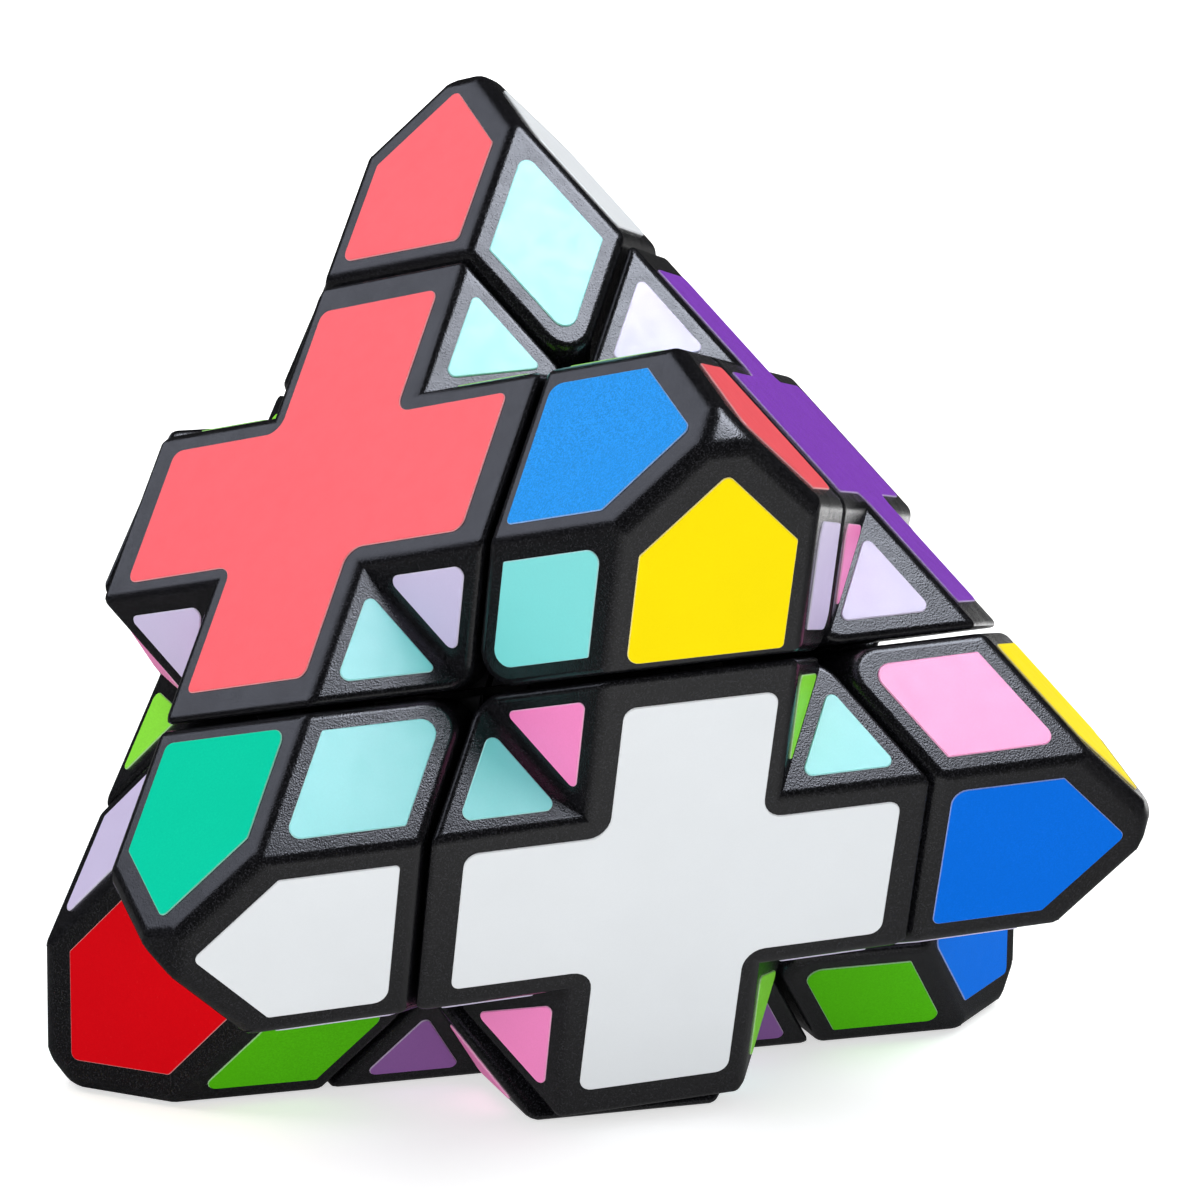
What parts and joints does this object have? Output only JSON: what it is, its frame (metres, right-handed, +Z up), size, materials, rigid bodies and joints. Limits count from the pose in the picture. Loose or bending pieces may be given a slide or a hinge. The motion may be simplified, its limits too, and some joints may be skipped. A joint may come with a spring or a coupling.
{
  "type": "star-shaped twisty puzzle",
  "caption": "Star-shaped twisty puzzle with spiked corner pieces and notched cross centres over a sprung ball core, its front half turned so that the spikes line up.",
  "frame": {"origin": "on the table, at the middle of the flat cross face that the puzzle stands on; the middle of the core is straight above it", "axes": "+Z up; -Y towards the viewer, so that the turning axis of the front half leans up and forward in the plane X = 0"},
  "size_m": [0.0997, 0.0977, 0.0916],
  "materials": {
    "cap_plastic": "black ABS, satin with a fine grain",
    "foot_plastic": "black ABS, lightly oiled",
    "core_plastic": "dark grey nylon",
    "fastener_steel": "zinc-plated steel",
    "spring_steel": "bright spring wire",
    "sticker_white": "smooth vinyl film",
    "sticker_purple": "smooth vinyl film",
    "sticker_red": "smooth vinyl film",
    "sticker_green": "smooth vinyl film",
    "sticker_blue": "smooth vinyl film",
    "sticker_yellow": "smooth vinyl film"
  },
  "bodies": {
    "back_half": {"tip_back_left_cap": "cap_plastic", "tip_back_left_base": "foot_plastic", "tip_back_right_cap": "cap_plastic", "tip_back_right_base": "foot_plastic", "tip_back_high_cap": "cap_plastic", "tip_back_high_base": "foot_plastic", "tip_back_low_cap": "cap_plastic", "tip_back_low_base": "foot_plastic", "center_green_cap": "cap_plastic", "center_green_base": "foot_plastic", "cross_sticker_green": "sticker_green", "center_blue_cap": "cap_plastic", "center_blue_base": "foot_plastic", "cross_sticker_blue": "sticker_blue", "center_yellow_cap": "cap_plastic", "center_yellow_base": "foot_plastic", "cross_sticker_yellow": "sticker_yellow", "core": "core_plastic", "screw_front": "fastener_steel", "washer_front": "fastener_steel", "spring_front": "spring_steel", "screw_back_left": "fastener_steel", "washer_back_left": "fastener_steel", "spring_back_left": "spring_steel", "screw_back_right": "fastener_steel", "washer_back_right": "fastener_steel", "spring_back_right": "spring_steel", "screw_back_high": "fastener_steel", "washer_back_high": "fastener_steel", "spring_back_high": "spring_steel"},
    "front_half": {"tip_front_cap": "cap_plastic", "tip_front_base": "foot_plastic", "tip_top_cap": "cap_plastic", "tip_top_base": "foot_plastic", "tip_left_cap": "cap_plastic", "tip_left_base": "foot_plastic", "tip_right_cap": "cap_plastic", "tip_right_base": "foot_plastic", "center_white_cap": "cap_plastic", "center_white_base": "foot_plastic", "cross_sticker_white": "sticker_white", "center_purple_cap": "cap_plastic", "center_purple_base": "foot_plastic", "cross_sticker_purple": "sticker_purple", "center_red_cap": "cap_plastic", "center_red_base": "foot_plastic", "cross_sticker_red": "sticker_red"}
  },
  "joints": [
    {"name": "half_turn", "type": "hinge", "parent": "back_half", "child": "front_half", "pos_m": [0, 0, 0.035], "axis": [0, -0.8165, 0.5774], "continuous": true}
  ]
}
